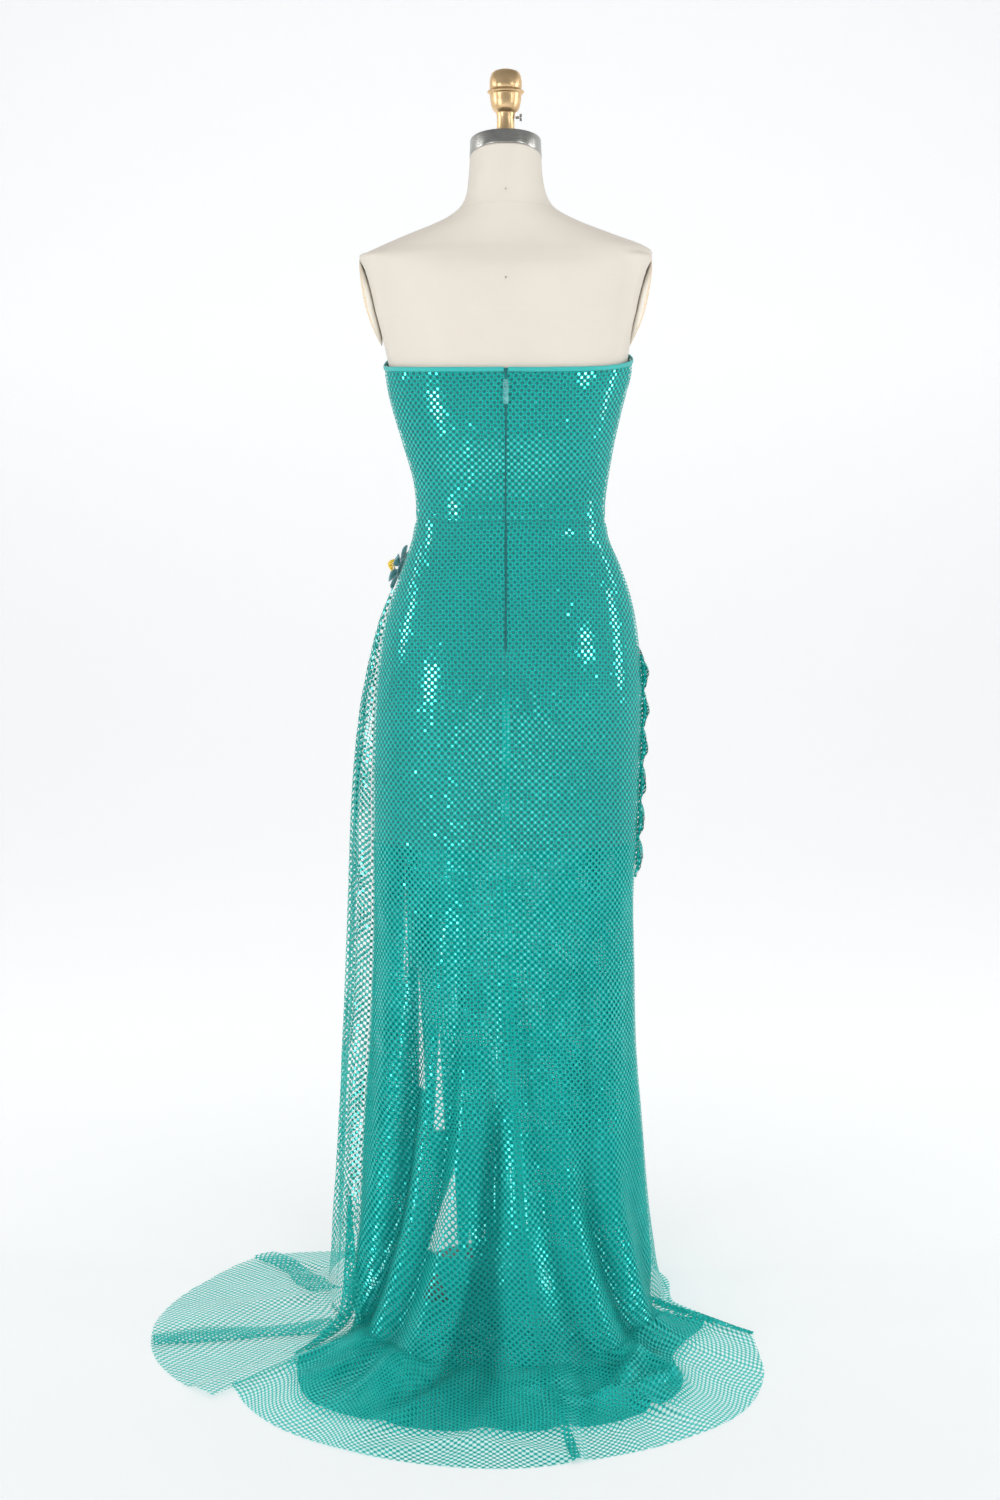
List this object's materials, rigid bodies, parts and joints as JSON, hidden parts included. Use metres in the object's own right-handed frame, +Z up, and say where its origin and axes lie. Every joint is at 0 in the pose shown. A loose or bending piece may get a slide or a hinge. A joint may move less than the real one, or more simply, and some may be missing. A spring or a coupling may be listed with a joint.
{
  "type": "evening gown on dress form",
  "caption": "Strapless floor-length gown of teal mirror-dot net with a hip drape, a short lining, a back zip and a rounded train, on a limbless linen dress form with a stand.",
  "frame": {"origin": "centre of the stand base's underside, on the floor, on the axis of the pole", "axes": "+Z up along the pole; -Y is the front of the gown and +Y its back, where the zip and train are; +X is the wearer's left"},
  "size_m": [0.7687, 0.7411, 1.6074],
  "materials": {
    "net": "open teal net with small bright mirror dots",
    "lining": "smooth satin",
    "binding": "smooth bound edge",
    "zip": "matte coil and tape",
    "pull": "satin teal paint",
    "petal": "pearly",
    "petal_centre": "beaded, glossy",
    "linen": "fine matte linen",
    "plate": "satin varnish",
    "steel": "brushed",
    "brass": "aged and turned",
    "iron": "satin black paint"
  },
  "bodies": {
    "gown_and_form": {"lining_back_left": "lining", "lining_back_right": "lining", "lining_front": "lining", "bodice_back_left": "net", "bodice_back_right": "net", "bodice_front": "net", "top_binding_back_left": "binding", "top_binding_back_right": "binding", "top_binding_front": "binding", "skirt_back_left": "net", "skirt_back_right": "net", "skirt_front": "net", "underskirt": "net", "side_drape": "net", "front_swag": "net", "zip_coil": "zip", "zip_slider": "pull", "ornament_petal_1": "petal", "ornament_petal_2": "petal", "ornament_petal_3": "petal", "ornament_petal_4": "petal", "ornament_petal_5": "petal", "ornament_petal_6": "petal", "ornament_centre": "petal_centre", "ornament_backing": "petal", "form_torso": "linen", "neck_cap": "steel", "finial": "brass", "finial_screw": "steel", "finial_screw_head": "steel", "arm_plate_left": "plate", "arm_plate_right": "plate", "stand_pole": "steel", "stand_base": "iron"},
    "zip_pull_tab": {"zip_pull": "pull"}
  },
  "joints": [
    {"name": "zip_pull_swing", "type": "hinge", "parent": "gown_and_form", "child": "zip_pull_tab", "pos_m": [0, 0.09728, 1.206], "axis": [1, 0, 0], "range_deg": [0, 150]}
  ]
}
